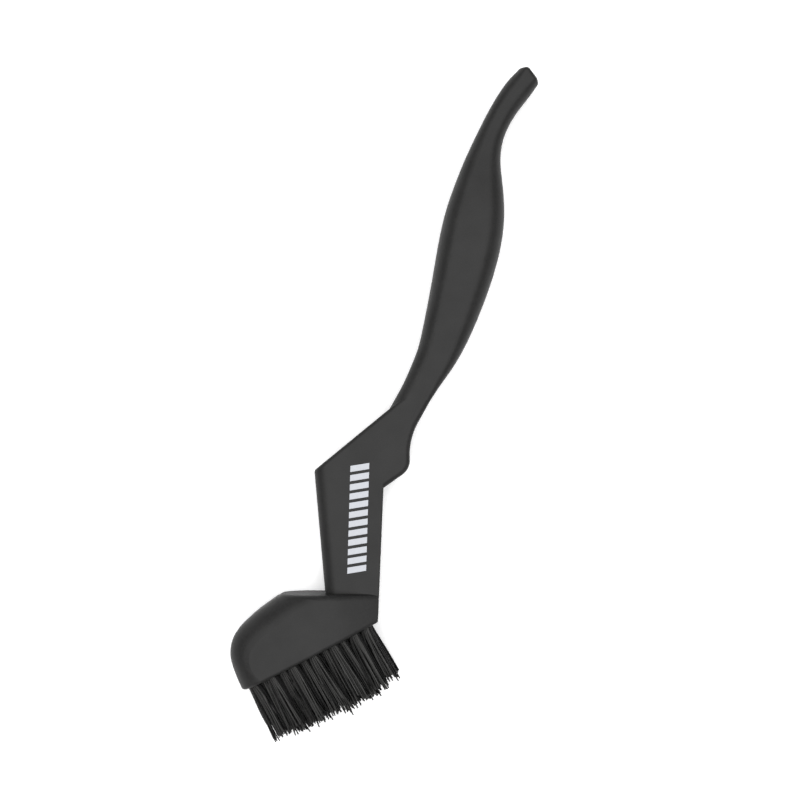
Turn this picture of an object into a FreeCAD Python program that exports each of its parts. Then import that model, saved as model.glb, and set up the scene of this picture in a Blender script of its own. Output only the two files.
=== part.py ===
import FreeCAD, Part
import math
import os

import Sketcher
from FreeCAD import Placement, Rotation, Vector

# A one-piece moulded cleaning brush for the grooves of golf clubs: a long curved grip, a flat
# cranked neck and a boat-shaped head, with bristle tufts stapled into the head by metal anchors.
#
# Construction frame, in millimetres: the origin is the middle of the bristle face, X runs along
# that face from the nose to the heel, Y points away from the bristles, and Z crosses the brush,
# with Z = 0 on the middle plane. The finished parts are then moved so that the part's origin is
# the centre of the flat side of the head on which the brush lies.

doc = FreeCAD.newDocument("groove_brush")
sheet = doc.addObject("Spreadsheet::Sheet", "Dimensions")
UP = Vector(0, 0, 1)

SIZES = (
    # Head: a boat shape with flat parallel sides and rounded shoulders.
    ("head_half_width", 11.0),
    ("side_trim", 0.01),
    ("nose_x", -25.5),
    ("nose_lower_radius", 55.0),
    ("nose_lower_turn", 10.3),
    ("nose_upper_radius", 12.3),
    ("nose_upper_turn", 60.6),
    ("crest_radius", 60.0),
    ("shoulder_radius", 8.0),
    ("nose_plan_depth", 10.5),
    ("nose_plan_width", 8.6),
    ("fan_x", -12.0),
    ("head_foot", 3.0),
    ("taper_start", -1.0),
    ("taper_end", 34.0),
    ("taper_radius", 74.0),
    ("taper_shoulder_share", 0.72),
    ("ledge_x", 13.7),
    ("ledge_y", 15.9),
    ("ledge_slope", -27.0),
    ("ledge_rim_radius", 2.0),
    ("base_edge_radius", 1.1),
    # Neck: a flat plate from the heel up to the knee, with its top edge on a diagonal.
    ("plate_thickness", 9.0),
    ("plate_root_depth", 2.0),
    ("heel_x", 24.7),
    ("heel_lean", 29.35),
    ("plate_right_length", 52.3),
    ("plate_left_lean", 21.95),
    ("plate_corner_x", 28.5),
    ("plate_corner_y", 54.2),
    ("diagonal_slope", 12.33),
    ("diagonal_length", 40.85),
    ("plate_left_radius", 4.2),
    ("diagonal_edge_radius", 1.3),
    ("plate_right_radius", 0.3),
    # Knee: the end of the grip inside the plate, with the ear below it.
    ("knee_x", 70.0),
    ("knee_y", 61.4),
    ("knee_heading", 34.0),
    ("knee_left_run", 17.9),
    ("knee_right_run", 13.9),
    ("ear_start_x", 43.2),
    ("ear_start_y", 38.1),
    ("ear_corner_x", 57.2),
    ("ear_corner_y", 40.15),
    ("ear_corner_radius", 5.8),
    ("ear_sweep_radius", 22.0),
    ("ear_edge_radius", 1.7),
    # Grip: runs and bends of the line down its middle, from the knee to the tip.
    ("knee_run", 11.3),
    ("knee_bend_length", 9.8),
    ("knee_bend_turn", 9.8),
    ("belly_bend_length", 46.8),
    ("belly_bend_turn", 11.1),
    ("belly_run", 10.1),
    ("tip_bend_length", 27.8),
    ("tip_bend_turn", -29.6),
    ("tip_run", 9.6),
    ("tip_face_heading", 10.0),
    ("tip_corner_heading", 63.0),
    ("tip_corner_reach", 1.4),
    ("tip_edge_radius", 1.2),
    ("grip_left_land", 0.5),
    # Moulding gate in the lower side of the grip, near its tip: a shallow recess with a stub.
    ("gate_from_tip", 7.1),
    ("gate_recess_radius", 1.5),
    ("gate_recess_depth", 0.6),
    ("gate_recess_reach", 3.0),
    ("gate_stub_radius", 0.55),
    ("gate_stub_height", 0.35),
    # Tufts, their holes and the anchors that hold them.
    ("tuft_root_radius", 2.0),
    ("tuft_hole_clearance", 0.05),
    ("tuft_hole_depth", 7.0),
    ("tuft_flare", 0.3),
    ("trim_middle", 19.9),
    ("trim_end_drop", 1.4),
    ("outer_row_limit", 7.4),
    ("outer_row_inset", 3.6),
    ("inner_row_z", 3.7),
    ("nose_tuft_lean", 0.3),
    ("heel_tuft_lean", 4.4),
    ("side_tuft_lean", 1.6),
    ("anchor_thickness", 0.3),
    ("anchor_height", 1.6),
    ("anchor_width", 4.6),
    ("anchor_floor_gap", 1.9),
    # Centre of the flat side of the head, which becomes the part's origin.
    ("rest_x", -6.0),
    ("rest_y", 7.0),
)

# Cross-sections of the grip, from the knee to the tip: distance along the middle line, width,
# thickness, how far the left and the right side are rounded, and half the height of the straight
# band left in the middle of the right side.
GRIP_COLUMNS = ("along", "width", "thickness", "left_round", "right_round", "right_land")
GRIP_SECTIONS = (
    (0.0, 10.5, 9.0, 4.0, 1.3, 3.2),
    (3.0, 10.85, 9.1, 4.0, 1.5, 2.9),
    (8.0, 11.8, 9.7, 4.1, 2.1, 2.2),
    (14.0, 13.3, 10.9, 4.3, 3.0, 1.4),
    (22.0, 15.5, 12.7, 4.5, 4.0, 0.8),
    (32.0, 17.7, 14.6, 4.8, 5.0, 0.5),
    (44.0, 19.8, 16.2, 5.2, 5.5, 0.5),
    (54.0, 20.6, 16.6, 5.4, 5.7, 0.5),
    (61.0, 20.1, 16.1, 5.2, 5.6, 0.5),
    (68.0, 18.2, 15.0, 4.9, 5.3, 0.5),
    (74.0, 15.6, 13.6, 4.5, 4.8, 0.5),
    (80.0, 12.6, 12.1, 4.0, 4.2, 0.5),
    (86.0, 10.0, 10.9, 3.5, 3.6, 0.5),
    (92.0, 8.6, 10.2, 3.1, 3.1, 0.5),
    (100.0, 8.4, 10.0, 3.0, 3.0, 0.5),
    (110.0, 8.7, 10.0, 3.1, 3.1, 0.5),
    (119.0, 9.1, 10.0, 3.1, 3.1, 0.5),
)

# Where the tufts stand along the bristle face: the outer row on each side, which follows the
# edge of the head, the inner row on each side, and the middle row.
OUTER_ROW = (-21.1, -14.5, -6.8, 1.0, 8.3, 16.0, 20.3)
INNER_ROW = (-17.2, -10.9, -3.1, 4.7, 11.0)
MIDDLE_ROW = (-22.1, -14.6, -6.9, 0.9, 8.3, 13.5, 18.4)


def fill_sheet():
    """Write every driving dimension to the sheet under its own alias."""
    cells = list(SIZES)
    for number, section in enumerate(GRIP_SECTIONS, start=1):
        cells += [(f"grip{number}_{column}", value) for column, value in zip(GRIP_COLUMNS, section)]
    for name, row in (("outer", OUTER_ROW), ("inner", INNER_ROW), ("middle", MIDDLE_ROW)):
        cells += [(f"{name}_tuft{number}_x", x) for number, x in enumerate(row, start=1)]
    for line, (alias, amount) in enumerate(cells, start=1):
        sheet.set(f"A{line}", alias)
        sheet.set(f"B{line}", str(amount))
        sheet.setAlias(f"B{line}", alias)
    doc.recompute()


def size(alias):
    """One dimension, read back from the sheet."""
    return float(sheet.get(alias))


def bind(thing, **sizes):
    """Bind properties of a document object to expressions in the sheet's dimensions."""
    for name, text in sizes.items():
        thing.setExpression(name, text.replace("$", "Dimensions."))
    return thing


def feature(name, shape):
    """A document object whose shape is worked out from the sheet's dimensions."""
    thing = doc.addObject("Part::Feature", name)
    thing.Shape = shape
    return thing


def boolean(kind, name, base, tool):
    """A Part::Cut or Part::Common of two objects."""
    thing = doc.addObject(kind, name)
    thing.Base = base
    thing.Tool = tool
    return thing


def heading(degrees):
    """Unit vector in the XY plane, turned from +X."""
    return Vector(math.cos(math.radians(degrees)), math.sin(math.radians(degrees)), 0)


def follow(point, direction, runs, distance):
    """Go a distance along straight runs and tangent arcs: the place, and the direction there."""
    left = distance
    for length, turn in runs:
        piece = min(left, length)
        swing = math.radians(turn) * piece / length
        chord = piece * math.sin(swing / 2) / (swing / 2) if swing else piece
        point = point + heading(direction + math.degrees(swing) / 2) * chord
        direction += math.degrees(swing)
        left -= piece
        if left <= 0:
            break
    return point, direction


def quarter(start, corner, end):
    """Quarter of an ellipse that touches the lines start-corner and corner-end."""
    curve = Part.BezierCurve()
    curve.setPoles([start, corner, end])
    curve.setWeight(2, math.sqrt(0.5))
    return curve.toShape()


def edges_through(shape, points):
    """Names of the edges of a shape that pass through any of the points."""
    spots = [Part.Vertex(point) for point in points]
    return [
        f"Edge{number}"
        for number, edge in enumerate(shape.Edges, start=1)
        if any(edge.distToShape(spot)[0] < 1e-4 for spot in spots)
    ]


def flat_face(shape, normal):
    """The largest flat face of a shape that faces one way."""
    faces = [
        face for face in shape.Faces
        if face.Surface.TypeId == "Part::GeomPlane" and face.normalAt(0, 0).dot(normal) > 0.9999
    ]
    return max(faces, key=lambda face: face.Area)


def is_across(edge):
    """Whether an edge runs straight across the brush."""
    return edge.Curve.TypeId == "Part::GeomLine" and abs(edge.tangentAt(edge.FirstParameter).z) > 0.99


def join(name, pieces):
    """All the pieces fused into one solid."""
    fused = doc.addObject("Part::MultiFuse", name)
    fused.Shapes = pieces
    fused.Refine = True
    return fused


def rounded_copy(name, base, edges, alias):
    """The base object with a fillet along some of its edges."""
    rounded = doc.addObject("Part::Fillet", name)
    rounded.Base = base
    radius = size(alias)
    rounded.Edges = [
        (number, radius, radius)
        for number, edge in enumerate(base.Shape.Edges, start=1)
        if any(edge.isSame(other) for other in edges)
    ]
    doc.recompute()
    return rounded


# ---------------------------------------------------------------------------------- plate and knee

def padded_outline(name, corners):
    """Body with a straight-sided sketch on its XY plane, padded to the plate's thickness.

    Each corner is a pair of expressions in the sheet's dimensions, which drive the sketch.
    """
    texts = [[text.replace("$", "Dimensions.") for text in corner] for corner in corners]
    spots = [Vector(*[float(sheet.evalExpression(text)) for text in pair]) for pair in texts]
    body = doc.addObject("PartDesign::Body", name)
    sketch = body.newObject("Sketcher::SketchObject", f"{name}Outline")
    plane = next(thing for thing in body.Origin.OriginFeatures if thing.Role == "XY_Plane")
    sketch.AttachmentSupport = [(plane, "")]
    sketch.MapMode = "FlatFace"
    for number, spot in enumerate(spots):
        sketch.addGeometry(Part.LineSegment(spot, spots[(number + 1) % len(spots)]), False)
    for number, spot in enumerate(spots):
        after = (number + 1) % len(spots)
        sketch.addConstraint(Sketcher.Constraint("Coincident", number, 2, after, 1))
        for kind, text, amount in (
            ("DistanceX", texts[number][0], spot.x),
            ("DistanceY", texts[number][1], spot.y),
        ):
            index = sketch.addConstraint(Sketcher.Constraint(kind, -1, 1, number, 1, amount))
            sketch.setExpression(f"Constraints[{index}]", text)
    pad = body.newObject("PartDesign::Pad", f"{name}Pad")
    pad.Profile = sketch
    pad.SideType = "Symmetric"
    bind(pad, Length="$plate_thickness")
    doc.recompute()
    return body, spots


def round_edges(body, name, radius, points):
    """Add a fillet to a body, on the edges through the points."""
    base = body.Tip
    rounded = body.newObject("PartDesign::Fillet", name)
    rounded.Base = (base, edges_through(base.Shape, points))
    bind(rounded, Radius=radius)
    doc.recompute()


def front_and_back(start, end):
    """Middle of a line of the outline, on the plate's front and back faces."""
    half = UP * (size("plate_thickness") / 2)
    middle = (start + end) / 2
    return [middle + half, middle - half]


def make_plate():
    """The flat neck, from inside the head up to the diagonal edge."""
    foot_x = "$heel_x - $plate_root_depth * tan($heel_lean * 1 deg)"
    left_fall = "($plate_corner_y + $plate_root_depth) * tan($plate_left_lean * 1 deg)"
    body, spots = padded_outline("NeckPlate", (
        (foot_x, "-$plate_root_depth"),
        (
            f"{foot_x} + $plate_right_length * sin($heel_lean * 1 deg)",
            "$plate_right_length * cos($heel_lean * 1 deg) - $plate_root_depth",
        ),
        (
            "$plate_corner_x + $diagonal_length * cos($diagonal_slope * 1 deg)",
            "$plate_corner_y + $diagonal_length * sin($diagonal_slope * 1 deg)",
        ),
        ("$plate_corner_x", "$plate_corner_y"),
        (f"$plate_corner_x - {left_fall}", "-$plate_root_depth"),
    ))
    foot, hidden_top, diagonal_end, corner, left_foot = spots
    round_edges(body, "LeftEdges", "$plate_left_radius", front_and_back(corner, left_foot))
    round_edges(body, "DiagonalEdges", "$diagonal_edge_radius", [corner])
    round_edges(body, "RightEdges", "$plate_right_radius", front_and_back(foot, hidden_top))
    return body


def make_knee():
    """The foot of the grip, buried in the plate, with the rounded ear on its lower side."""
    across_x = "$grip1_width / 2 * sin($knee_heading * 1 deg)"
    across_y = "$grip1_width / 2 * cos($knee_heading * 1 deg)"
    body, spots = padded_outline("Knee", (
        (f"$knee_x + {across_x}", f"$knee_y - {across_y}"),
        (f"$knee_x - {across_x}", f"$knee_y + {across_y}"),
        (
            f"$knee_x - {across_x} - $knee_left_run * cos($knee_heading * 1 deg)",
            f"$knee_y + {across_y} - $knee_left_run * sin($knee_heading * 1 deg)",
        ),
        ("$ear_start_x", "$ear_start_y"),
        ("$ear_corner_x", "$ear_corner_y"),
        (
            f"$knee_x + {across_x} - $knee_right_run * cos($knee_heading * 1 deg)",
            f"$knee_y - {across_y} - $knee_right_run * sin($knee_heading * 1 deg)",
        ),
    ))
    right_end, left_end, left_root, ear_start, ear_corner, ear_bend = spots
    round_edges(body, "EarCorner", "$ear_corner_radius", [ear_corner])
    round_edges(body, "EarSweep", "$ear_sweep_radius", [ear_bend])
    round_edges(body, "KneeLeft", "$grip1_left_round", front_and_back(left_end, left_root))
    near_end = right_end + (ear_bend - right_end) * 0.1
    round_edges(body, "EarEdges", "$ear_edge_radius", front_and_back(near_end, right_end))
    return body


# ---------------------------------------------------------------------------------- grip

def grip_middle(along):
    """Middle line of the grip: the place at a distance from the knee, and the heading there."""
    runs = (
        (size("knee_run"), 0.0),
        (size("knee_bend_length"), size("knee_bend_turn")),
        (size("belly_bend_length"), size("belly_bend_turn")),
        (size("belly_run"), 0.0),
        (size("tip_bend_length"), size("tip_bend_turn")),
        (size("tip_run") * 2, 0.0),
    )
    start = Vector(size("knee_x"), size("knee_y"), 0)
    return follow(start, size("knee_heading"), runs, along)


def tip_along():
    """Length of the grip's middle line."""
    parts = ("knee_run", "knee_bend_length", "belly_bend_length", "belly_run", "tip_bend_length", "tip_run")
    return sum(size(name) for name in parts)


def grip_section(number):
    """One cross-section of the grip: a flat front and back, and rounded sides."""
    row = {column: size(f"grip{number}_{column}") for column in GRIP_COLUMNS}
    centre, direction = grip_middle(row["along"])
    left = heading(direction + 90)
    width = row["width"] / 2
    height = row["thickness"] / 2
    left_land = size("grip_left_land")
    right_land = row["right_land"]
    left_flat = width - row["left_round"]
    right_flat = row["right_round"] - width

    def at(across, up):
        return centre + left * across + UP * up

    return Part.Wire([
        Part.makeLine(at(right_flat, height), at(left_flat, height)),
        quarter(at(left_flat, height), at(width, height), at(width, left_land)),
        Part.makeLine(at(width, left_land), at(width, -left_land)),
        quarter(at(width, -left_land), at(width, -height), at(left_flat, -height)),
        Part.makeLine(at(left_flat, -height), at(right_flat, -height)),
        quarter(at(right_flat, -height), at(-width, -height), at(-width, -right_land)),
        Part.makeLine(at(-width, -right_land), at(-width, right_land)),
        quarter(at(-width, right_land), at(-width, height), at(right_flat, height)),
    ])


def make_block(name, place, direction):
    """Block that takes away everything beyond a plane through a place, which faces one way."""
    block = doc.addObject("Part::Box", name)
    bind(block, Length="$head_half_width * 2", Width="$head_half_width * 2", Height="$head_half_width * 2")
    half = size("head_half_width")
    turn = Rotation(UP, direction)
    block.Placement = Placement(place - turn.multVec(Vector(0, half, half)), turn)
    return block


def make_grip():
    """Loft through the cross-sections, cut off on two slants at the tip and rounded there."""
    sections = [grip_section(number) for number in range(1, len(GRIP_SECTIONS) + 1)]
    loft = feature("GripLoft", Part.makeLoft(sections, True, False))
    tip, _ = grip_middle(tip_along())
    slant = size("tip_face_heading")
    corner = size("tip_corner_heading")
    trimmed = boolean("Part::Cut", "GripTrimmed", loft, make_block("BeyondTip", tip, slant))
    beyond = tip + heading(corner) * size("tip_corner_reach")
    cornered = boolean("Part::Cut", "GripCornered", trimmed, make_block("BeyondTipCorner", beyond, corner))
    doc.recompute()
    faces = [flat_face(cornered.Shape, heading(slant)), flat_face(cornered.Shape, heading(corner))]
    edges = [edge for face in faces for edge in face.Edges]
    return rounded_copy("GripRounded", cornered, edges, "tip_edge_radius")


# ---------------------------------------------------------------------------------- head

def crest(along):
    """Profile of the head: a place on it, from the foot of the nose up and over the crest."""
    foot = size("head_foot")
    runs = (
        (foot, 0.0),
        (size("nose_lower_radius") * math.radians(size("nose_lower_turn")), -size("nose_lower_turn")),
        (size("nose_upper_radius") * math.radians(size("nose_upper_turn")), -size("nose_upper_turn")),
        (size("crest_radius") * math.pi / 2, -90.0),
    )
    return follow(Vector(size("nose_x"), -foot, 0), 90.0, runs, along)[0]


def crest_at(x):
    """Profile of the head at a place along the bristle face, beyond the nose."""
    low, high = 0.0, size("crest_radius") * 1.6
    while high - low > 1e-9:
        middle = (low + high) / 2
        low, high = (middle, high) if crest(middle).x < x else (low, middle)
    return crest(low)


def half_width_at(x):
    """Half the width of the head: parallel sides, drawn in along an arc towards the heel."""
    radius = size("taper_radius")
    past = max(0.0, x - size("taper_start"))
    return size("head_half_width") - (radius - math.sqrt(radius**2 - past**2))


def head_section(top):
    """Cross-section of the head through a place on its profile.

    Behind the nose the section stands upright. In the nose the sections fan out from one line
    across the head, which lies below the bristle face.
    """
    foot = Vector(max(top.x, size("fan_x")), -size("head_foot"), 0)
    rise = (top - foot).normalize()
    foot = foot + rise * (size("head_foot") / 6 if top.x < size("fan_x") else 0.0)
    width = half_width_at(top.x) + size("side_trim")
    level = 1.0 - abs(rise.y)
    corner_height = size("shoulder_radius") + level * (size("nose_plan_depth") - size("shoulder_radius"))
    corner_width = size("shoulder_radius") + level * (size("nose_plan_width") - size("shoulder_radius"))
    corner_width = min(corner_width, width * size("taper_shoulder_share"))
    height = (top - foot).Length

    def at(across, up):
        return foot + rise * up + UP * across

    shoulder = height - corner_height
    flat = width - corner_width
    return Part.Wire([
        Part.makeLine(at(-width, 0), at(-width, shoulder)),
        quarter(at(-width, shoulder), at(-width, height), at(-flat, height)),
        Part.makeLine(at(-flat, height), at(flat, height)),
        quarter(at(flat, height), at(width, height), at(width, shoulder)),
        Part.makeLine(at(width, shoulder), at(width, 0)),
        Part.makeLine(at(width, 0), at(-width, 0)),
    ])


def make_head():
    """Nose and tapered heel, with both sides trimmed flat and the top cut off by the ledge."""
    foot = size("head_foot")
    lower = size("nose_lower_radius") * math.radians(size("nose_lower_turn"))
    upper = size("nose_upper_radius") * math.radians(size("nose_upper_turn"))
    nose = [0.0, foot, foot + lower / 2]
    nose += [foot + lower + upper * step / 4 for step in range(5)]
    start = size("taper_start")
    tops = [crest(along) for along in nose]
    tops += [crest_at(size("fan_x") + (start - size("fan_x")) * step / 3) for step in range(4)]
    front = feature("HeadNose", Part.makeLoft([head_section(top) for top in tops], True, False))
    span = size("taper_end") - start
    tops = [crest_at(start + span * step / 5) for step in range(6)]
    back = feature("HeadHeel", Part.makeLoft([head_section(top) for top in tops], True, False))

    reach = size("head_half_width") * 8
    above = Rotation(UP, size("ledge_slope"))
    ledge = doc.addObject("Part::Box", "AboveLedge")
    bind(ledge, Length="$head_half_width * 16", Width="$head_half_width * 4", Height="$head_half_width * 4")
    corner = Vector(size("ledge_x"), size("ledge_y"), 0)
    ledge.Placement = Placement(corner - above.multVec(Vector(reach, 0, reach / 4)), above)
    behind = Rotation(UP, -size("heel_lean"))
    heel = doc.addObject("Part::Box", "BehindHeel")
    bind(heel, Length="$head_half_width * 4", Width="$head_half_width * 16", Height="$head_half_width * 4")
    heel_point = Vector(size("heel_x"), 0, 0)
    heel.Placement = Placement(heel_point - behind.multVec(Vector(0, reach, reach / 4)), behind)
    slab = doc.addObject("Part::Box", "BetweenSides")
    bind(slab, Length="$head_half_width * 16", Width="$head_half_width * 16", Height="$head_half_width * 2")
    slab.Placement = Placement(Vector(-reach, -reach, -size("head_half_width")), Rotation())
    sided = boolean("Part::Common", "HeadSided", join("HeadBlank", [front, back]), slab)
    ledged = boolean("Part::Cut", "HeadLedged", sided, ledge)
    trimmed = boolean("Part::Cut", "HeadTrimmed", ledged, heel)
    doc.recompute()
    face = flat_face(trimmed.Shape, heading(size("ledge_slope") + 90))
    rim = [edge for edge in face.Edges if not is_across(edge)]
    return rounded_copy("HeadRimmed", trimmed, rim, "ledge_rim_radius")


# ---------------------------------------------------------------------------------- tufts

def tuft_places():
    """Where every tuft leaves the bristle face, row by row."""
    places = []
    for number in range(1, len(OUTER_ROW) + 1):
        x = size(f"outer_tuft{number}_x")
        z = min(size("outer_row_limit"), base_half_width_at(x) - size("outer_row_inset"))
        places += [Vector(x, 0, z), Vector(x, 0, -z)]
    for number in range(1, len(INNER_ROW) + 1):
        x = size(f"inner_tuft{number}_x")
        places += [Vector(x, 0, size("inner_row_z")), Vector(x, 0, -size("inner_row_z"))]
    for number in range(1, len(MIDDLE_ROW) + 1):
        places.append(Vector(size(f"middle_tuft{number}_x"), 0, 0))
    return places


def base_half_width_at(x):
    """Half the width of the bristle face, rounded at the nose and tapered at the heel."""
    depth = size("nose_plan_depth")
    into_nose = max(0.0, size("nose_x") + depth - x)
    narrowing = size("nose_plan_width") * (1 - math.sqrt(1 - (into_nose / depth) ** 2))
    return half_width_at(x) - narrowing


def tuft_frame(place):
    """Placement of a tuft: Z along its bristles, X along the brush, origin on the face."""
    ends = (size("middle_tuft1_x"), size(f"middle_tuft{len(MIDDLE_ROW)}_x"))
    share = (place.x - ends[0]) / (ends[1] - ends[0])
    along = size("nose_tuft_lean") + share * (size("heel_tuft_lean") - size("nose_tuft_lean"))
    aside = size("side_tuft_lean") * place.z / size("outer_row_limit")
    bristles = Vector(math.tan(math.radians(along)), -1, math.tan(math.radians(aside)))
    turn = Rotation(Vector(1, 0, 0), Vector(), bristles.normalize(), "ZXY")
    return Placement(place, turn)


def trim_at(x):
    """Length of the bristles: longest in the middle of the face, shorter towards its ends."""
    reach = size("middle_tuft1_x")
    return size("trim_middle") - size("trim_end_drop") * (x / reach) ** 2


def make_anchor(name, frame):
    """Flat metal anchor across the foot of a tuft, longer than the hole is wide."""
    anchor = doc.addObject("Part::Box", name)
    bind(anchor, Length="$anchor_width", Width="$anchor_thickness", Height="$anchor_height")
    offset = Vector(
        -size("anchor_width") / 2,
        -size("anchor_thickness") / 2,
        size("anchor_floor_gap") - size("tuft_hole_depth"),
    )
    anchor.Placement = frame * Placement(offset, Rotation())
    return anchor


def make_tuft(number, place, frame, anchor):
    """Bundle of bristles: a round foot in its hole and a slightly flared brush outside."""
    foot = doc.addObject("Part::Cylinder", f"TuftFoot{number}")
    bind(foot, Radius="$tuft_root_radius", Height="$tuft_hole_depth")
    foot.Placement = frame * Placement(Vector(0, 0, -size("tuft_hole_depth")), Rotation())
    brush = doc.addObject("Part::Cone", f"TuftBrush{number}")
    bind(brush, Radius1="$tuft_root_radius", Radius2="$tuft_root_radius + $tuft_flare")
    brush.Height = trim_at(place.x)
    brush.Placement = frame
    bundle = join(f"TuftBundle{number}", [foot, brush])
    tuft = boolean("Part::Cut", f"Tuft{number}", bundle, anchor)
    tuft.Label = f"tuft_{number:02d}"
    return tuft


def make_hole(number, frame):
    """Hole for a tuft, which also breaks out through the bristle face."""
    hole = doc.addObject("Part::Cylinder", f"TuftHole{number}")
    bind(
        hole,
        Radius="$tuft_root_radius + $tuft_hole_clearance",
        Height="$tuft_hole_depth + $head_foot",
    )
    hole.Placement = frame * Placement(Vector(0, 0, -size("tuft_hole_depth")), Rotation())
    return hole


# ---------------------------------------------------------------------------------- handle body

def make_gate_recess():
    """What the gate recess takes out of the grip: a shallow round pocket, less the stub in it."""
    centre, direction = grip_middle(tip_along() - size("gate_from_tip"))
    outward = heading(direction - 90)
    floor = centre + outward * (size("grip16_width") / 2 - size("gate_recess_depth"))
    turn = Rotation(UP, outward)
    pocket = doc.addObject("Part::Cylinder", "GatePocket")
    bind(pocket, Radius="$gate_recess_radius", Height="$gate_recess_reach")
    stub = doc.addObject("Part::Cylinder", "GateStub")
    bind(stub, Radius="$gate_stub_radius", Height="$gate_stub_height")
    pocket.Placement = stub.Placement = Placement(floor, turn)
    return boolean("Part::Cut", "GateRecess", pocket, stub)


def make_body(holes, anchors):
    """The moulding: head, plate, knee and grip in one, with its holes."""
    whole = join("Moulding", [make_plate(), make_knee(), make_grip(), make_head()])
    reach = size("head_half_width") * 8
    below = doc.addObject("Part::Box", "BelowFace")
    bind(below, Length="$head_half_width * 16", Width="$head_half_width * 2", Height="$head_half_width * 4")
    below.Placement = Placement(Vector(-reach, -reach / 4, -reach / 4), Rotation())
    flat = boolean("Part::Cut", "FlatBase", whole, below)
    doc.recompute()
    base = flat_face(flat.Shape, Vector(0, -1, 0))
    soft = rounded_copy("SoftBase", flat, base.Edges, "base_edge_radius")

    gated = boolean("Part::Cut", "Gated", soft, make_gate_recess())
    cuts = doc.addObject("Part::Compound", "TuftCuts")
    cuts.Links = holes
    bites = doc.addObject("Part::Compound", "AnchorBites")
    bites.Links = anchors
    drilled = boolean("Part::Cut", "Drilled", gated, cuts)
    body = boolean("Part::Cut", "HandleBody", drilled, bites)
    body.Label = "handle_body"
    return body


def check(parts):
    """Stop unless every object was made and every part has a sound shape."""
    for thing in doc.Objects:
        if {"Invalid", "Error"} & set(thing.State):
            raise RuntimeError(f"{thing.Name} could not be made: {thing.State}")
    for part in parts:
        if part.Shape.isNull() or not part.Shape.isValid():
            raise RuntimeError(f"{part.Label} has no valid shape")


def main():
    fill_sheet()
    places = tuft_places()
    frames = [tuft_frame(place) for place in places]
    anchors = [make_anchor(f"Anchor{number}", frame) for number, frame in enumerate(frames, start=1)]
    holes = [make_hole(number, frame) for number, frame in enumerate(frames, start=1)]
    parts = [make_body(holes, anchors)]
    for number, (place, frame, anchor) in enumerate(zip(places, frames, anchors), start=1):
        parts.append(make_tuft(number, place, frame, anchor))
    group = doc.addObject("Part::Compound", "TuftAnchors")
    group.Links = anchors
    group.Label = "tuft_anchors"
    parts.append(group)

    to_part_frame = Vector(-size("rest_x"), -size("rest_y"), size("head_half_width"))
    for part in parts:
        part.Placement = Placement(to_part_frame, Rotation())
    doc.recompute()
    check(parts)
    os.makedirs("parts", exist_ok=True)
    for part in parts:
        part.Shape.exportStep(f"parts/{part.Label}.step")
        print(part.Label, len(part.Shape.Solids), "solids", round(part.Shape.Volume, 1), "mm3")


main()
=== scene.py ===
import math

import bpy
import numpy as np
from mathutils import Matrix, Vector


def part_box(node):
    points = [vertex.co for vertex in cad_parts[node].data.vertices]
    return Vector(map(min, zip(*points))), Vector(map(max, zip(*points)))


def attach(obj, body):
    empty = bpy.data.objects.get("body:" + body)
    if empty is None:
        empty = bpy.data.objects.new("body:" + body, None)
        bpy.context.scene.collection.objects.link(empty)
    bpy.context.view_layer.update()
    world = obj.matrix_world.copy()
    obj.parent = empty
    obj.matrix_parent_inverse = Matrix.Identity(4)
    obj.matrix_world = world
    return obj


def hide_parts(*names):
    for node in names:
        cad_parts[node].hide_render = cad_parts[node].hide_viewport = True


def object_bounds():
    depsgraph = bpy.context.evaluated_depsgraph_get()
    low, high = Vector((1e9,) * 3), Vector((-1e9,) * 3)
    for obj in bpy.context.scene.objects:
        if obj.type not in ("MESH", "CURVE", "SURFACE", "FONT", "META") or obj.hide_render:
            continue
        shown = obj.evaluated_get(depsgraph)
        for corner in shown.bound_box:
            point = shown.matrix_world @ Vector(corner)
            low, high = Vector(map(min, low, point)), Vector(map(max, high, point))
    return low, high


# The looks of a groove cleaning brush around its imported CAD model. All lengths are in metres.
#
# The moulding and the anchors keep their CAD shapes and get their materials here. Each tuft's
# plain CAD bundle is replaced with separate filaments, folded in half around the tuft's anchor.
# A thin printed mark lies on the flat neck.

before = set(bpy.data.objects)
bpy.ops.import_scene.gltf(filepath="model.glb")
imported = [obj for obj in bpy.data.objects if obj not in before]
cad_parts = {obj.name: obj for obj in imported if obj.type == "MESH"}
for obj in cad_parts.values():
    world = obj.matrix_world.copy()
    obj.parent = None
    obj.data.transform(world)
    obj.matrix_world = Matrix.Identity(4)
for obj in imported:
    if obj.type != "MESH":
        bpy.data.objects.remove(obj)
cad_low, cad_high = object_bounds()
centre = (cad_low + cad_high) / 2
MM = 0.001
rng = np.random.default_rng(31)

# Colours, each from its darkest patches to its palest.
MOULDING_COLOURS = ((0.0120, 0.0119, 0.0118), (0.0226, 0.0225, 0.0223))
NYLON_COLOURS = ((0.002, 0.002, 0.002), (0.051, 0.0505, 0.049))
STEEL_COLOURS = ((0.52, 0.51, 0.49), (0.64, 0.63, 0.61))
INK_COLOURS = ((0.41, 0.42, 0.455), (0.455, 0.47, 0.505))
FLOOR_COLOURS = ((0.90, 0.90, 0.90), (0.92, 0.92, 0.92))

# Grain of each material: the size of its features, and the height of the moulding's relief.
CLOUD_SIZE = 9 * MM
MOULDING_GRAIN = 0.6 * MM
MOULDING_RELIEF = 0.035 * MM
NYLON_GRAIN = 0.5 * MM
STEEL_GRAIN = 0.10 * MM
INK_GRAIN = 0.8 * MM
FLOOR_GRAIN = 200 * MM

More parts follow.
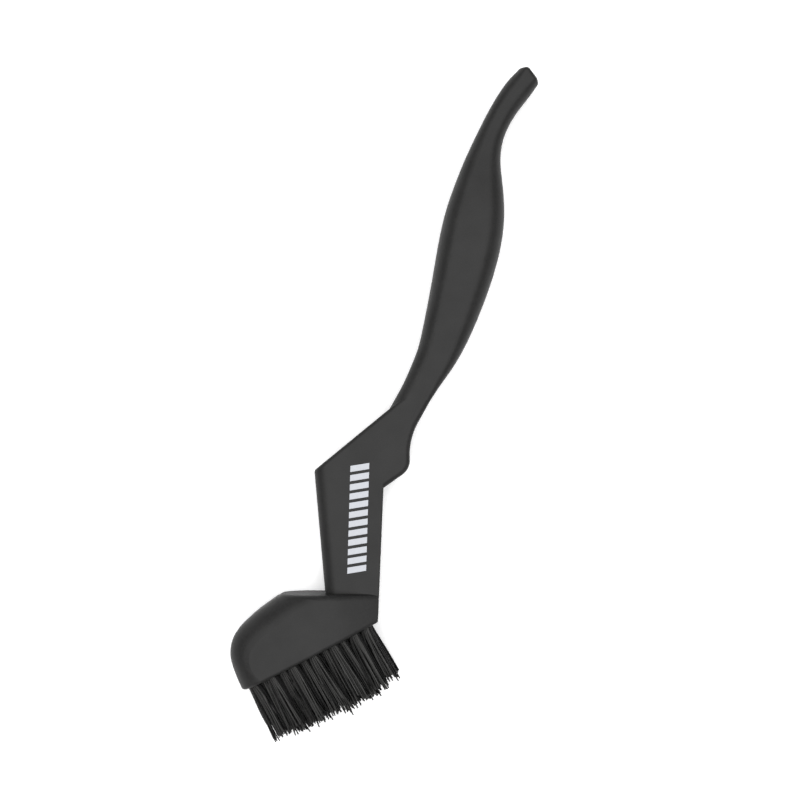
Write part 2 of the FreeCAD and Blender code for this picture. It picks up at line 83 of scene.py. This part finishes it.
# Filaments: a tuft is a bundle of strands, each folded in half around the tuft's anchor.
FILAMENT_RADIUS = 0.215 * MM
FILAMENT_SIDES = 8
FILAMENT_PITCH = 0.46 * MM
FILAMENT_ROW_PITCH = 0.44 * MM
BUNDLE_RADIUS = 1.78 * MM
ANCHOR_HALF_THICKNESS = 0.15 * MM
FOLD_CENTRE = 1.9 * MM
FREE_RINGS = 8
RING_CROWDING = 1.4
FOLD_RINGS = 5
CUT_BEVEL = 0.04 * MM
END_TOLERANCE = 0.1 * MM

# How far real strands stray from a neat bundle. Pairs are along the brush and across it.
#
# A bundle swells just outside its hole and flares towards its tips. A tuft near an end of the
# brush leans back to the middle and is trimmed shorter. Strands draw together in small clumps,
# a few of them stray, and a few are left long.
BUNDLE_BULGE = np.array((1.28, 1.04))
BULGE_HEIGHT = 1.8 * MM
BUNDLE_FLARE = np.array((1.62, 1.00))
BUNDLE_SWAY = np.array((0.50, 0.30)) * MM
CLUMPS = 9
CLUMP_PULL = 0.35
TIP_SCATTER = 0.46 * MM
TIP_BOW = 0.28 * MM
END_LEAN = 2.0 * MM
LEAN_CENTRE = 3.7 * MM
LEAN_REACH = 24.8 * MM
LEAN_TRIM = 0.5
BUNDLE_TRIM = 0.40 * MM
CLUMP_TRIM = 0.75 * MM
STRAND_TRIM = 0.70 * MM
STRAY_SHARE = 0.13
STRAY_SCATTER = 0.95 * MM
LONG_SHARE = 0.08
LONG_EXTRA = 1.4 * MM

# Printed mark
MARK_CENTRE = Vector((40.5, 26.5)) * MM
MARK_HEADING = math.radians(61.3)
MARK_LENGTH = 35.7 * MM
MARK_WIDTH = 6.2 * MM
MARK_BARS = 12
MARK_FILL = 0.66
MARK_SLANT = 1.2 * MM
INK_RISE = 0.04 * MM
PLATE_HALF_THICKNESS = 4.5 * MM

# Camera: straight above the brush, turned about the line of sight.
CAMERA_ROLL = math.radians(-27)
CAMERA_RISE = 0.600
VIEW_WIDTH = 0.2667
SENSOR_WIDTH = 36.0
AIM_OFFSET = Vector((0.53, 0.98, 0.0)) * MM

# Studio: the horizon and sky glows are the world's strength, and the band is where it changes
# from one to the other, as sines of heights.
FLOOR_HALF = 4.0
FLOOR_GLOW = 0.25
LIGHT_WIDTH = 1.55
LIGHT_RISE = 1.1
LIGHT_POWER = 25.5
HORIZON_GLOW = 0.85
SKY_GLOW = 0.03
HORIZON_BAND = (0.05, 0.22)


# ---------------------------------------------------------------------------------- materials

def new_material(name):
    """A node material with one principled shader: the material, its node tree and the shader."""
    material = bpy.data.materials.new(name)
    material.use_nodes = True
    tree = material.node_tree
    tree.nodes.clear()
    output = tree.nodes.new("ShaderNodeOutputMaterial")
    shader = tree.nodes.new("ShaderNodeBsdfPrincipled")
    tree.links.new(shader.outputs["BSDF"], output.inputs["Surface"])
    return material, tree, shader


def noise(tree, size, detail=2.0, roughness=0.5, stretch=None):
    """Noise in object space whose features are about one size, in metres."""
    place = tree.nodes.new("ShaderNodeTexCoord")
    texture = tree.nodes.new("ShaderNodeTexNoise")
    texture.inputs["Scale"].default_value = 1.0 / size
    texture.inputs["Detail"].default_value = detail
    texture.inputs["Roughness"].default_value = roughness
    source = place.outputs["Object"]
    if stretch:
        mapping = tree.nodes.new("ShaderNodeMapping")
        mapping.inputs["Scale"].default_value = stretch
        tree.links.new(source, mapping.inputs["Vector"])
        source = mapping.outputs["Vector"]
    tree.links.new(source, texture.inputs["Vector"])
    return texture.outputs["Fac"]


def spread(tree, source, low, high, start=0.3, end=0.7):
    """Map a noise value to a range of numbers."""
    node = tree.nodes.new("ShaderNodeMapRange")
    node.inputs["From Min"].default_value = start
    node.inputs["From Max"].default_value = end
    node.inputs["To Min"].default_value = low
    node.inputs["To Max"].default_value = high
    tree.links.new(source, node.inputs["Value"])
    return node.outputs["Result"]


def blend_colours(tree, source, colours):
    """Mix a pair of colours by a value."""
    node = tree.nodes.new("ShaderNodeMix")
    node.data_type = "RGBA"
    node.inputs["A"].default_value = (*colours[0], 1.0)
    node.inputs["B"].default_value = (*colours[1], 1.0)
    tree.links.new(source, node.inputs["Factor"])
    return node.outputs["Result"]


def add_values(tree, first, second):
    """Sum of two values."""
    node = tree.nodes.new("ShaderNodeMath")
    node.operation = "ADD"
    tree.links.new(first, node.inputs[0])
    tree.links.new(second, node.inputs[1])
    return node.outputs["Value"]


def bump(tree, shader, source, height):
    """Relief of a real height, in metres."""
    node = tree.nodes.new("ShaderNodeBump")
    node.inputs["Strength"].default_value = 1.0
    node.inputs["Distance"].default_value = height
    tree.links.new(source, node.inputs["Height"])
    tree.links.new(node.outputs["Normal"], shader.inputs["Normal"])


def moulding_material():
    """Black moulded plastic with a fine spark-eroded grain."""
    material, tree, shader = new_material("moulded_plastic")
    cloud = noise(tree, CLOUD_SIZE, detail=3.0)
    grain = noise(tree, MOULDING_GRAIN, detail=3.0, roughness=0.7)
    shade = add_values(tree, spread(tree, cloud, 0.0, 0.4), spread(tree, grain, 0.0, 0.6))
    colour = blend_colours(tree, shade, MOULDING_COLOURS)
    tree.links.new(colour, shader.inputs["Base Color"])
    tree.links.new(spread(tree, grain, 0.46, 0.58), shader.inputs["Roughness"])
    shader.inputs["Specular IOR Level"].default_value = 0.16
    bump(tree, shader, grain, MOULDING_RELIEF)
    return material


def filament_material():
    """Black nylon monofilament, each strand a little lighter or darker than the next."""
    material, tree, shader = new_material("bristle_nylon")
    island = tree.nodes.new("ShaderNodeNewGeometry")
    share = spread(tree, island.outputs["Random Per Island"], 0.0, 1.0, start=0.25, end=1.0)
    colour = blend_colours(tree, share, NYLON_COLOURS)
    tree.links.new(colour, shader.inputs["Base Color"])
    grain = noise(tree, NYLON_GRAIN)
    tree.links.new(spread(tree, grain, 0.30, 0.44), shader.inputs["Roughness"])
    shader.inputs["Specular IOR Level"].default_value = 0.12
    return material


def anchor_material():
    """Flat steel wire, rolled along its length."""
    material, tree, shader = new_material("anchor_steel")
    streaks = noise(tree, STEEL_GRAIN, stretch=(0.05, 1.0, 1.0))
    colour = blend_colours(tree, spread(tree, streaks, 0.0, 1.0), STEEL_COLOURS)
    tree.links.new(colour, shader.inputs["Base Color"])
    tree.links.new(spread(tree, streaks, 0.28, 0.42), shader.inputs["Roughness"])
    shader.inputs["Metallic"].default_value = 1.0
    return material


def ink_material():
    """Pale pad-printed ink, slightly uneven."""
    material, tree, shader = new_material("printed_ink")
    patches = noise(tree, INK_GRAIN, detail=4.0)
    colour = blend_colours(tree, spread(tree, patches, 0.0, 1.0), INK_COLOURS)
    tree.links.new(colour, shader.inputs["Base Color"])
    tree.links.new(spread(tree, patches, 0.45, 0.6), shader.inputs["Roughness"])
    return material


def floor_material():
    """Plain white table."""
    material, tree, shader = new_material("floor_white")
    patches = noise(tree, FLOOR_GRAIN)
    colour = blend_colours(tree, spread(tree, patches, 0.0, 1.0), FLOOR_COLOURS)
    tree.links.new(colour, shader.inputs["Base Color"])
    shader.inputs["Roughness"].default_value = 0.9
    shader.inputs["Specular IOR Level"].default_value = 0.1
    shader.inputs["Emission Color"].default_value = (1.0, 1.0, 1.0, 1.0)
    shader.inputs["Emission Strength"].default_value = FLOOR_GLOW
    return material


# ---------------------------------------------------------------------------------- meshes

def mesh_piece(name, vertices, faces, material, smooth=True):
    """A mesh object made from vertices and faces."""
    mesh = bpy.data.meshes.new(name)
    mesh.from_pydata([tuple(v) for v in vertices], [], faces)
    mesh.update()
    mesh.polygons.foreach_set("use_smooth", [smooth] * len(mesh.polygons))
    mesh.materials.append(material)
    piece = bpy.data.objects.new(name, mesh)
    bpy.context.scene.collection.objects.link(piece)
    return piece


def give_material(node, material):
    """Put a material on a CAD part that keeps its shape."""
    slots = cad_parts[node].data.materials
    slots.clear()
    slots.append(material)


def tube(path, across, radius, sides):
    """A closed tube along a path of points, with square-cut, slightly bevelled ends.

    across is a direction that is nowhere along the path, so the rings never twist.
    """
    path = np.asarray(path)
    tangents = np.gradient(path, axis=0)
    tangents /= np.linalg.norm(tangents, axis=1, keepdims=True)
    first, last = path[0], path[-1]
    inner = [first + tangents[0] * CUT_BEVEL, *path[1:-1], last - tangents[-1] * CUT_BEVEL]
    path = np.vstack([first, *inner, last])
    tangents = np.vstack([tangents[0], tangents, tangents[-1]])
    radii = np.full(len(path), radius)
    radii[[0, -1]] = radius - CUT_BEVEL
    side_one = across - tangents * (tangents @ across)[:, None]
    side_one /= np.linalg.norm(side_one, axis=1, keepdims=True)
    side_two = np.cross(tangents, side_one)
    turns = np.arange(sides) * 2 * math.pi / sides
    rings = (
        path[:, None, :]
        + radii[:, None, None] * np.cos(turns)[None, :, None] * side_one[:, None, :]
        + radii[:, None, None] * np.sin(turns)[None, :, None] * side_two[:, None, :]
    )
    faces = []
    for ring in range(len(path) - 1):
        start = ring * sides
        for corner in range(sides):
            after = (corner + 1) % sides
            above = start + sides
            faces.append((start + corner, start + after, above + after, above + corner))
    faces.append(tuple(range(sides - 1, -1, -1)))
    end = (len(path) - 1) * sides
    faces.append(tuple(end + corner for corner in range(sides)))
    return rings.reshape(-1, 3), faces


# ---------------------------------------------------------------------------------- tufts

def tuft_axis(node):
    """Foot and tip of a tuft's CAD bundle: the centres of its two flat ends."""
    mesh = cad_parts[node].data
    points = np.array([v.co for v in mesh.vertices])
    middle = points.mean(axis=0)
    axis = np.linalg.svd(points - middle, full_matrices=False)[2][0]
    if axis[1] > 0:  # tufts point towards -Y
        axis = -axis
    heights = (points - middle) @ axis
    ends = []
    for level in (heights.min(), heights.max()):
        rim = points[np.abs(heights - level) < END_TOLERANCE]
        ends.append((rim.min(axis=0) + rim.max(axis=0)) / 2)
    return ends


def filament_roots():
    """Where the filaments cross the mouth of a hole, on one side of the anchor."""
    roots = []
    aside = ANCHOR_HALF_THICKNESS + FILAMENT_RADIUS
    while aside < BUNDLE_RADIUS:
        half_chord = math.sqrt(BUNDLE_RADIUS**2 - aside**2)
        count = int(2 * half_chord / FILAMENT_PITCH) + 1
        span = (count - 1) * FILAMENT_PITCH
        roots += [(along, aside) for along in np.linspace(-span / 2, span / 2, count)]
        aside += FILAMENT_ROW_PITCH
    return np.array(roots)


def free_end(root, tip, length, lean):
    """Points of one free strand from its tip down to the mouth of the hole, in tuft axes.

    Just outside the hole the bundle swells, and from there each strand runs on to its own tip.
    """
    bow = rng.normal(0.0, TIP_BOW, 2)
    shares = np.linspace(1.0, 0.0, FREE_RINGS) ** RING_CROWDING
    swelling = root * BUNDLE_BULGE + (lean / 2, 0.0) - root
    swollen = 1.0 - np.exp(-shares * length / BULGE_HEIGHT)
    side = root + swelling * swollen[:, None] + (tip - root - swelling) * shares[:, None]
    side += bow * (np.sin(math.pi * shares) * shares)[:, None]
    return np.column_stack([side, shares * length])


def strand_tips(roots, lean):
    """Where the strands of one tuft end, drawn together in small clumps, and how long they are."""
    sway = rng.normal(0.0, BUNDLE_SWAY, 2) + (lean, 0.0)
    turns = rng.random(CLUMPS) * 2 * math.pi
    reaches = BUNDLE_RADIUS * np.sqrt(rng.random(CLUMPS))
    clumps = np.column_stack([reaches * np.cos(turns), reaches * np.sin(turns)])
    clump_trims = rng.normal(0.0, CLUMP_TRIM, CLUMPS)
    trim = rng.normal(0.0, BUNDLE_TRIM)
    tips, extras = [], []
    for root in roots:
        nearest = int(np.argmin(np.linalg.norm(clumps - root, axis=1)))
        drawn = root + (clumps[nearest] - root) * CLUMP_PULL * rng.random()
        scatter = STRAY_SCATTER if rng.random() < STRAY_SHARE else TIP_SCATTER
        tips.append(drawn * BUNDLE_FLARE + sway + rng.normal(0.0, scatter, 2))
        longer = LONG_EXTRA * rng.random() if rng.random() < LONG_SHARE else 0.0
        extras.append(trim + clump_trims[nearest] + rng.normal(0.0, STRAND_TRIM) + longer)
    return tips, extras


def fold_points(root, depth):
    """Points of a strand's bend under the anchor, in tuft axes."""
    turns = np.linspace(0.0, math.pi, FOLD_RINGS)
    return np.column_stack([
        np.full(FOLD_RINGS, root[0]),
        root[1] * np.cos(turns),
        FOLD_CENTRE - depth - root[1] * np.sin(turns),
    ])


def make_tuft(node, material):
    """Filaments of one tuft, in place of its CAD bundle."""
    foot, tip = tuft_axis(node)
    axis = (tip - foot) / np.linalg.norm(tip - foot)
    mouth = foot + axis * (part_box("handle_body")[0].y - foot[1]) / axis[1]
    depth = np.linalg.norm(mouth - foot)
    reach = np.linalg.norm(tip - mouth)
    along = np.array([1.0, 0.0, 0.0]) - axis * axis[0]
    along /= np.linalg.norm(along)
    aside = np.cross(axis, along)
    near = filament_roots()
    far = near * (1, -1)
    lean = -END_LEAN * ((mouth[0] - LEAN_CENTRE) / LEAN_REACH) ** 3
    reach -= LEAN_TRIM * abs(lean)
    tips, extras = strand_tips(np.vstack([near, far]), lean)
    vertices, faces = [], []
    for index in range(len(near)):
        other = index + len(near)
        first = free_end(near[index], tips[index], reach + extras[index], lean)
        second = free_end(far[index], tips[other], reach + extras[other], lean)
        path = np.vstack([first, fold_points(near[index], depth), second[::-1]])
        world = mouth + path[:, :1] * along + path[:, 1:2] * aside + path[:, 2:] * axis
        points, quads = tube(world, along, FILAMENT_RADIUS, FILAMENT_SIDES)
        start = len(vertices)
        vertices += list(points)
        faces += [tuple(corner + start for corner in quad) for quad in quads]
    piece = mesh_piece(f"{node}_filaments", vertices, faces, material)
    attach(piece, "root")
    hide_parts(node)


# ---------------------------------------------------------------------------------- mark

def make_mark(material):
    """A column of plain slanted bars, printed on the front of the flat neck.

    The ink goes as far into the surface as it stands above it, so that no gap shows.
    """
    surface = centre.z + PLATE_HALF_THICKNESS
    up = Vector((math.cos(MARK_HEADING), math.sin(MARK_HEADING), 0))
    right = Vector((up.y, -up.x, 0))
    pitch = MARK_LENGTH / (MARK_BARS - 1 + MARK_FILL)
    bar = pitch * MARK_FILL
    vertices, faces = [], []
    for number in range(MARK_BARS):
        low = -MARK_LENGTH / 2 + number * pitch
        corners = [
            (-MARK_WIDTH / 2, low - MARK_SLANT / 2),
            (MARK_WIDTH / 2, low + MARK_SLANT / 2),
            (MARK_WIDTH / 2, low + bar + MARK_SLANT / 2),
            (-MARK_WIDTH / 2, low + bar - MARK_SLANT / 2),
        ]
        start = len(vertices)
        for level in (surface - INK_RISE, surface + INK_RISE):
            for across, high in corners:
                place = MARK_CENTRE.to_3d() + right * across + up * high
                vertices.append((place.x, place.y, level))
        faces.append(tuple(start + side for side in (3, 2, 1, 0)))
        faces.append(tuple(start + 4 + side for side in range(4)))
        for side in range(4):
            after = (side + 1) % 4
            faces.append((start + side, start + after, start + 4 + after, start + 4 + side))
    piece = mesh_piece("neck_mark", vertices, faces, material, smooth=False)
    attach(piece, "root")


# ---------------------------------------------------------------------------------- studio

def make_floor():
    """Plain white floor under the brush."""
    corners = [(-1, -1), (1, -1), (1, 1), (-1, 1)]
    vertices = [(x * FLOOR_HALF, y * FLOOR_HALF, cad_low.z) for x, y in corners]
    floor = mesh_piece("floor", vertices, [(0, 1, 2, 3)], floor_material(), smooth=False)


def make_light():
    """A large soft light straight above the brush."""
    lamp = bpy.data.lights.new("overhead", "AREA")
    lamp.shape = "DISK"
    lamp.size = LIGHT_WIDTH
    lamp.energy = LIGHT_POWER
    light = bpy.data.objects.new("overhead", lamp)
    light.location = centre + Vector((0.0, 0.0, LIGHT_RISE))
    bpy.context.scene.collection.objects.link(light)


def make_world():
    """Surroundings that are pale at the horizon and dim above it, up to the overhead light."""
    world = bpy.data.worlds.new("studio")
    bpy.context.scene.world = world
    world.use_nodes = True
    tree = world.node_tree
    place = tree.nodes.new("ShaderNodeTexCoord")
    split = tree.nodes.new("ShaderNodeSeparateXYZ")
    tree.links.new(place.outputs["Generated"], split.inputs["Vector"])
    strength = spread(tree, split.outputs["Z"], HORIZON_GLOW, SKY_GLOW, *HORIZON_BAND)
    background = tree.nodes["Background"]
    background.inputs["Color"].default_value = (1.0, 1.0, 1.0, 1.0)
    tree.links.new(strength, background.inputs["Strength"])


def make_camera():
    """Camera straight above the brush."""
    data = bpy.data.cameras.new("camera")
    data.sensor_width = SENSOR_WIDTH
    data.lens = SENSOR_WIDTH * CAMERA_RISE / VIEW_WIDTH
    camera = bpy.data.objects.new("camera", data)
    camera.location = centre + AIM_OFFSET + Vector((0, 0, CAMERA_RISE))
    camera.rotation_euler = (0.0, 0.0, CAMERA_ROLL)
    bpy.context.scene.collection.objects.link(camera)
    bpy.context.scene.camera = camera


def main():
    give_material("handle_body", moulding_material())
    give_material("tuft_anchors", anchor_material())
    bristles = filament_material()
    for node in sorted(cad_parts):
        if node.startswith("tuft_") and node != "tuft_anchors":
            make_tuft(node, bristles)
    make_mark(ink_material())
    make_floor()
    make_light()
    make_world()
    make_camera()
    bpy.context.scene.view_settings.view_transform = "Standard"


main()
